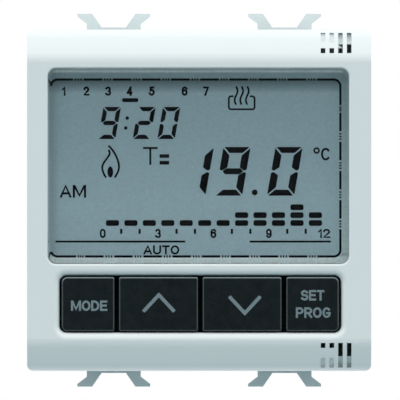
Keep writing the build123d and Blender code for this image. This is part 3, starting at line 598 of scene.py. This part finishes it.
# Room temperature, and the letters of the half of the day
TEMPERATURE_SIZE = dict(width=3.56, height=6.37, across=0.78, upright=0.98, gap=0.13)
DEGREE = (15.47, 2.05)
EQUALS_HEIGHTS = (1.33, 0.455)
show("temperature_digits", figures("190", (-2.64, 2.16, 8.97), -3.85, TEMPERATURE_SIZE))
show("temperature_point", [dot(7.37, -3.42, 0.38)])
show("degree_ring", [], [(dot(*DEGREE, 0.43), dot(*DEGREE, 0.2))])
show_word("degree_letter", "C", (16.04, 17.24), (0.75, 2.41))
show_word("temperature_letter", "T", (-7.25, -5.34), (0.18, 2.52))
show("temperature_equals", [bar(-4.455, z, 1.25, 0.48) for z in EQUALS_HEIGHTS])
show_word("half_day_letters", "AM", (-18.12, -14.69), (-4.11, -2.44), 0.29)

# Flame: two curved sides, open at the foot, and a filled core
FLAME_LINE = 0.26
FLAME_LEFT = [(-11.76, 2.16), (-11.6, 1.75), (-11.75, 1.35), (-12.1, 0.85), (-12.48, 0.27), (-12.58, -0.25),
              (-12.42, -0.9), (-12.09, -1.49)]
FLAME_RIGHT = [(-11.76, 2.71), (-11.11, 1.93), (-10.63, 0.99), (-10.39, 0.04), (-10.53, -0.73),
               (-10.94, -1.49)]
FLAME_CORE = oval(-11.53, -0.75, 0.38, 0.73)
show("flame", [*(stroke(smooth(side), FLAME_LINE) for side in (FLAME_LEFT, FLAME_RIGHT)), FLAME_CORE])

# Heating symbol: three waves rising from an open tray
TRAY_LEFT, TRAY_RIGHT, TRAY_LOW, TRAY_HIGH = 3.98, 7.35, 7.45, 9.15
TRAY_LINE = 0.24
TRAY_CORNER = 0.3
TRAY_LIP = 0.62                # length of the two ends that are turned in, with their corner
WAVE_PLACES = (4.93, 5.66, 6.4)
WAVE_SWING = 0.19
WAVE_LOW = 8.05
WAVE_HEIGHT = 2.4
WAVE_STEPS = 14
tray_path = [(TRAY_LEFT + TRAY_LIP, TRAY_HIGH),
             *arc(TRAY_LEFT + TRAY_CORNER, TRAY_HIGH - TRAY_CORNER, TRAY_CORNER, 90, 180),
             *arc(TRAY_LEFT + TRAY_CORNER, TRAY_LOW + TRAY_CORNER, TRAY_CORNER, 180, 270),
             *arc(TRAY_RIGHT - TRAY_CORNER, TRAY_LOW + TRAY_CORNER, TRAY_CORNER, 270, 360),
             *arc(TRAY_RIGHT - TRAY_CORNER, TRAY_HIGH - TRAY_CORNER, TRAY_CORNER, 0, 90),
             (TRAY_RIGHT - TRAY_LIP, TRAY_HIGH)]
waves = []
for place in WAVE_PLACES:
    turns = [i / WAVE_STEPS for i in range(WAVE_STEPS + 1)]
    path = [(place - WAVE_SWING * math.sin(2 * math.pi * t), WAVE_LOW + WAVE_HEIGHT * t) for t in turns]
    waves.append(stroke(path, TRAY_LINE))
show("heating_symbol", [stroke(tray_path, TRAY_LINE), *waves])

# Day profile: a column for each two hours, its scale and its underline
COLUMN_PITCH = 2.415
COLUMN_FIRST = -11.25
ROW_PITCH = 1.03
ROW_BASE = -7.43
PROFILE_ROWS = (range(12), range(7, 12), range(10, 11))
CELL = dict(width=1.73, height=0.76, radius=0.3)
cells = [bar(COLUMN_FIRST + column * COLUMN_PITCH, ROW_BASE + row * ROW_PITCH, **CELL)
         for row, columns in enumerate(PROFILE_ROWS) for column in columns]
show("profile_cells", cells)
SCALE_FIRST = -12.52
SCALE_TOP = -8.19
SCALE_HEIGHT = 1.21
SCALE_WIDTHS = {1: 0.76, 2: 1.6}          # for a label of one or two figures
TICK_WIDTH, TICK_HEIGHT = 0.29, 0.66
for i, label in enumerate(("0", "3", "6", "9", "12")):
    across = span(SCALE_FIRST + 3 * i * COLUMN_PITCH, SCALE_WIDTHS[len(label)])
    show_word(f"scale_{label}", label, across, (SCALE_TOP - SCALE_HEIGHT, SCALE_TOP), 0.24)
ticks = [bar(SCALE_FIRST + i * COLUMN_PITCH, SCALE_TOP - TICK_HEIGHT / 2, TICK_WIDTH, TICK_HEIGHT)
         for i in range(12) if i % 3]
show("scale_ticks", ticks)
UNDERLINE = dict(z=-9.86, height=0.25)
show("profile_lines", [bar(x=-10.22, width=17.0, **UNDERLINE), bar(x=12.02, width=10.63, **UNDERLINE)])
show_word("automatic_letters", "AUTO", (-7.19, -2.51), (-11.55, -10.35), 0.24)

# Border: a rounded line of dashes with three dots between them, open on the left side.
# Distances run along it clockwise from the top left corner.
BORDER_CORNER = 0.86
BORDER_LINE = 0.3
DASH_PITCH = 3.81
DASH = 2.42
DASH_RUNS = ((4.79, 8), (42.34, 4), (65.1, 8))                         # first dash and number of dashes
CORNER_DASHES = ((0.0, 3.37), (35.32, 41.36), (57.6, 63.8), (95.36, 98.9))
DOT_LENGTH = 0.19
r = BORDER_CORNER
border_path = [*arc(left + r, high - r, r, 180, 90), *arc(right - r, high - r, r, 90, 0),
               *arc(right - r, low + r, r, 0, -90), *arc(left + r, low + r, r, 270, 180)]
border_path.append(border_path[0])
reached = [0.0]
for before, after in zip(border_path, border_path[1:]):
    reached.append(reached[-1] + (after - before).length)


def border_piece(begin, end):
    """Points of the border between two distances along it."""
    margin = 0.02              # points of the path closer than this to an end are left out

    def at(distance):
        i = max(k for k in range(len(reached) - 1) if reached[k] <= distance)
        t = (distance - reached[i]) / (reached[i + 1] - reached[i])
        return border_path[i].lerp(border_path[i + 1], min(t, 1.0))

    inside = [point for point, distance in zip(border_path, reached)
              if begin + margin < distance < end - margin]
    return [at(begin), *inside, at(end)]


def border_marks():
    """Begin and end of each dash and then of each dot, as distances along the border."""
    starts = [first + i * DASH_PITCH for first, count in DASH_RUNS for i in range(count)]
    dashes = sorted([*((start, start + DASH) for start in starts), *CORNER_DASHES])
    dots = [span(before + (after - before) * share, DOT_LENGTH)
            for (_, before), (after, _) in zip(dashes, dashes[1:]) for share in (0.25, 0.5, 0.75)]
    return dashes + dots


show("display_border", [stroke(border_piece(begin, end), BORDER_LINE) for begin, end in border_marks()])

# Margin between the border and the window's edge
MARGIN_OVERLAP = 0.12
film_size = (film_high - film_low) / mm(1)
outer = bar(0, 0, film_size.x, film_size.z, radius=0.3)
inner = bar((left + right) / 2, (low + high) / 2, right - left + 2 * MARGIN_OVERLAP,
            high - low + 2 * MARGIN_OVERLAP, radius=BORDER_CORNER * 1.6)
show("display_margin", [], [(outer, inner)], display_margin)


# ------------------------------------------------------------------ key legends
LEGEND_THICKNESS = 0.015       # how proud of the key it is; it goes as deep into it


def legend(name, key, outlines, rings=()):
    """Ink on the middle of a key's front face."""
    low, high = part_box(f"key_{key}")
    middle = Vector(((low.x + high.x) / 2, low.y - mm(LEGEND_THICKNESS), (low.z + high.z) / 2))
    piece = plate(name, outlines, middle, LEGEND_THICKNESS * 2, legend_ink, rings)
    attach(piece, f"{key}_key")


CHEVRON_REACH = 2.04
CHEVRON_TIP = 1.2
CHEVRON_FOOT = -1.0
CHEVRON_LINE = 0.47
CHEVRON_CORNER = 0.14
for key, side, aside in (("up", 1, 0.05), ("down", -1, 0.35)):
    foot = side * CHEVRON_FOOT
    path = [(aside - CHEVRON_REACH, foot), (aside, side * CHEVRON_TIP), (aside + CHEVRON_REACH, foot)]
    legend(f"legend_{key}", key, [rounded(stroke(path, CHEVRON_LINE), CHEVRON_CORNER)])
LEGEND_LINE = 0.28
LEGENDS = (
    ("mode", "MODE", (-2.24, 2.52), (-0.9, 0.46)),
    ("program", "SET", (-1.54, 1.54), (0.45, 1.83)),
    ("program", "PROG", (-2.19, 2.41), (-1.82, -0.43)),
)
for key, text, across, up in LEGENDS:
    legend(f"legend_{text.lower()}", key, *lettering(text, across, up, LEGEND_LINE))


# ------------------------------------------------------------------ stage, light and camera
FACE_Y = cad_box[0].y
FLOOR_DROP = 14                # the object hangs clear of the floor, as on a wall
FLOOR_SIZE = 0.6               # half its width, in metres
floor_mesh = bmesh.new()
bmesh.ops.create_grid(floor_mesh, x_segments=24, y_segments=24, size=FLOOR_SIZE)
for v in floor_mesh.verts:
    v.co.z = cad_box[0].z - mm(FLOOR_DROP)
paper = Shader("floor")
paper.colour(paper.blend(paper.noise(40.0), (0.86, 0.87, 0.87), (0.9, 0.9, 0.9)))
paper.roughness(paper.spread(paper.noise(20.0), 0.7, 0.8))
# Seen from below, the floor is clear
backface = paper.node("ShaderNodeNewGeometry").outputs["Backfacing"]
nothing = paper.node("ShaderNodeBsdfTransparent").outputs["BSDF"]
one_sided = paper.mix_shaders(backface, paper.bsdf.outputs["BSDF"], nothing)
paper.feed(paper.tree.nodes["Material Output"], Surface=one_sided)
floor = finished("floor", floor_mesh, paper.material)
floor.visible_diffuse = False
floor.visible_glossy = False
floor.visible_shadow = False

# Colours of the surround from straight down, -1, to straight up, 1
FRONT_TONES = ((-1.0, (0.7, 0.85, 0.87)), (-0.6, (0.1, 0.18, 0.21)), (-0.25, (0.02, 0.1, 0.13)),
               (0.0, (0.93, 1.11, 1.17)), (0.35, (1.78, 1.8, 1.78)), (1.0, (1.36, 1.3, 1.28)))
BACK_TONES = ((-1.0, (1.3, 1.3, 1.3)), (0.0, (0.95, 0.97, 0.97)), (1.0, (0.7, 0.71, 0.71)))
# Shares of a direction that point to the rear, between which one tone turns into another
FRONT_TO_BACK = (-0.1, 0.35)
DARK_PATCH = (-0.97, -0.86)
CAMERA_SIDE = 0.02             # brightness of the dark patch


def studio():
    """Soft surround: bright behind and above the object, dim below, dark where the camera stands."""
    world = bpy.data.worlds.new("studio")
    bpy.context.scene.world = world
    world.use_nodes = True
    world.node_tree.nodes.clear()
    nodes = Nodes(world.node_tree)
    direction = nodes.node("ShaderNodeSeparateXYZ", Vector=nodes.coordinate("Generated")).outputs
    height = nodes.spread(direction["Z"], 0, 1, -1, 1)

    def by_height(tones):
        return nodes.ramp(height, [((place + 1) / 2, colour) for place, colour in tones])

    def towards_rear(low, high, between):
        return nodes.spread(direction["Y"], low, high, *between, interpolation="SMOOTHSTEP")

    tone = nodes.mix(towards_rear(0, 1, FRONT_TO_BACK), by_height(FRONT_TONES), by_height(BACK_TONES))
    soft = nodes.node("ShaderNodeBackground", Color=tone, Strength=towards_rear(CAMERA_SIDE, 1, DARK_PATCH))
    plain = nodes.node("ShaderNodeBackground", Color=(1, 1, 1, 1))
    seen = nodes.node("ShaderNodeLightPath").outputs["Is Camera Ray"]
    surround = nodes.mix_shaders(seen, soft.outputs["Background"], plain.outputs["Background"])
    nodes.node("ShaderNodeOutputWorld", Surface=surround)


studio()

CAMERA_DISTANCE = 2.0
FRAME_WIDTH = 52.29
CAMERA_ASIDE = 0.11
CAMERA_UP = 0.03
camera_data = bpy.data.cameras.new("camera")
camera_data.sensor_width = 36
camera_data.lens = camera_data.sensor_width * CAMERA_DISTANCE / mm(FRAME_WIDTH)
camera_data.clip_start = 0.01
camera_data.clip_end = 20
camera = bpy.data.objects.new("camera", camera_data)
camera.location = (mm(CAMERA_ASIDE), FACE_Y - CAMERA_DISTANCE, mm(CAMERA_UP))
camera.rotation_euler = (math.radians(90), 0, 0)
bpy.context.scene.collection.objects.link(camera)
bpy.context.scene.camera = camera
bpy.context.scene.view_settings.view_transform = "Standard"
